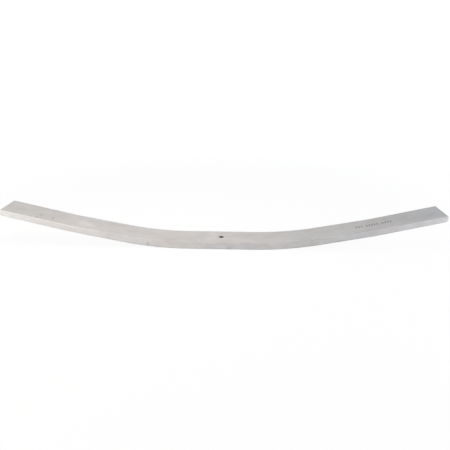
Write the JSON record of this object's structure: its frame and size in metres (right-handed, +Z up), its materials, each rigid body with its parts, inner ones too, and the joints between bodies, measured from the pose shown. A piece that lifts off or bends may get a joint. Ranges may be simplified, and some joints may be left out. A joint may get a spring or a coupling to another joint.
{
  "type": "leaf spring",
  "caption": "Plain single-leaf spring: one flat steel bar with a level centre seat, a centre bolt hole and two tapered, gently upswept arms without eyes, flexing along both arms.",
  "frame": {"origin": "on the underside of the level seat, below the centre of the bolt hole, which is the bottom centre of the bounding box", "axes": "+X along the leaf to its right end, +Y across its width, +Z up, the way the two ends rise"},
  "size_m": [1.183, 0.08, 0.1055],
  "materials": {
    "grey_paint": "semi-matt light grey spring paint over steel"
  },
  "bodies": {
    "centre_seat": {"centre_seat": "grey_paint"},
    "left_bend": {"left_bend": "grey_paint"},
    "left_inner_arm": {"left_inner_arm": "grey_paint"},
    "left_middle_arm": {"left_middle_arm": "grey_paint"},
    "left_outer_arm": {"left_outer_arm": "grey_paint"},
    "left_tip": {"left_tip": "grey_paint"},
    "right_bend": {"right_bend": "grey_paint"},
    "right_inner_arm": {"right_inner_arm": "grey_paint"},
    "right_middle_arm": {"right_middle_arm": "grey_paint"},
    "right_outer_arm": {"right_outer_arm": "grey_paint"},
    "right_tip": {"right_tip": "grey_paint"}
  },
  "joints": [
    {"name": "left_bend_flex", "type": "hinge", "parent": "centre_seat", "child": "left_bend", "pos_m": [-0.14097, 0, 0.01139], "axis": [0, -1, 0], "range_deg": [0, 3], "stiffness_Nm_per_rad": 215000},
    {"name": "left_inner_arm_flex", "type": "hinge", "parent": "left_bend", "child": "left_inner_arm", "pos_m": [-0.24232, 0, 0.02246], "axis": [0, -1, 0], "range_deg": [0, 2.55]},
    {"name": "left_middle_arm_flex", "type": "hinge", "parent": "left_inner_arm", "child": "left_middle_arm", "pos_m": [-0.34252, 0, 0.04154], "axis": [0, -1, 0], "range_deg": [0, 1.96]},
    {"name": "left_outer_arm_flex", "type": "hinge", "parent": "left_middle_arm", "child": "left_outer_arm", "pos_m": [-0.44236, 0, 0.06231], "axis": [0, -1, 0], "range_deg": [0, 1.2]},
    {"name": "left_tip_flex", "type": "hinge", "parent": "left_outer_arm", "child": "left_tip", "pos_m": [-0.54159, 0, 0.08595], "axis": [0, -1, 0], "range_deg": [0, 0.28]},
    {"name": "right_bend_flex", "type": "hinge", "parent": "centre_seat", "child": "right_bend", "pos_m": [0.14097, 0, 0.01139], "axis": [0, 1, 0], "range_deg": [0, 3], "stiffness_Nm_per_rad": 215000},
    {"name": "right_inner_arm_flex", "type": "hinge", "parent": "right_bend", "child": "right_inner_arm", "pos_m": [0.24232, 0, 0.02246], "axis": [0, 1, 0], "range_deg": [0, 2.55]},
    {"name": "right_middle_arm_flex", "type": "hinge", "parent": "right_inner_arm", "child": "right_middle_arm", "pos_m": [0.34252, 0, 0.04154], "axis": [0, 1, 0], "range_deg": [0, 1.96]},
    {"name": "right_outer_arm_flex", "type": "hinge", "parent": "right_middle_arm", "child": "right_outer_arm", "pos_m": [0.44236, 0, 0.06231], "axis": [0, 1, 0], "range_deg": [0, 1.2]},
    {"name": "right_tip_flex", "type": "hinge", "parent": "right_outer_arm", "child": "right_tip", "pos_m": [0.54159, 0, 0.08595], "axis": [0, 1, 0], "range_deg": [0, 0.28]}
  ],
  "couplings": [
    {"joint": "left_inner_arm_flex", "follows": "left_bend_flex", "ratio": 0.8461},
    {"joint": "left_middle_arm_flex", "follows": "left_bend_flex", "ratio": 0.6493},
    {"joint": "left_outer_arm_flex", "follows": "left_bend_flex", "ratio": 0.3965},
    {"joint": "left_tip_flex", "follows": "left_bend_flex", "ratio": 0.0903},
    {"joint": "right_inner_arm_flex", "follows": "right_bend_flex", "ratio": 0.8461},
    {"joint": "right_middle_arm_flex", "follows": "right_bend_flex", "ratio": 0.6493},
    {"joint": "right_outer_arm_flex", "follows": "right_bend_flex", "ratio": 0.3965},
    {"joint": "right_tip_flex", "follows": "right_bend_flex", "ratio": 0.0903}
  ]
}
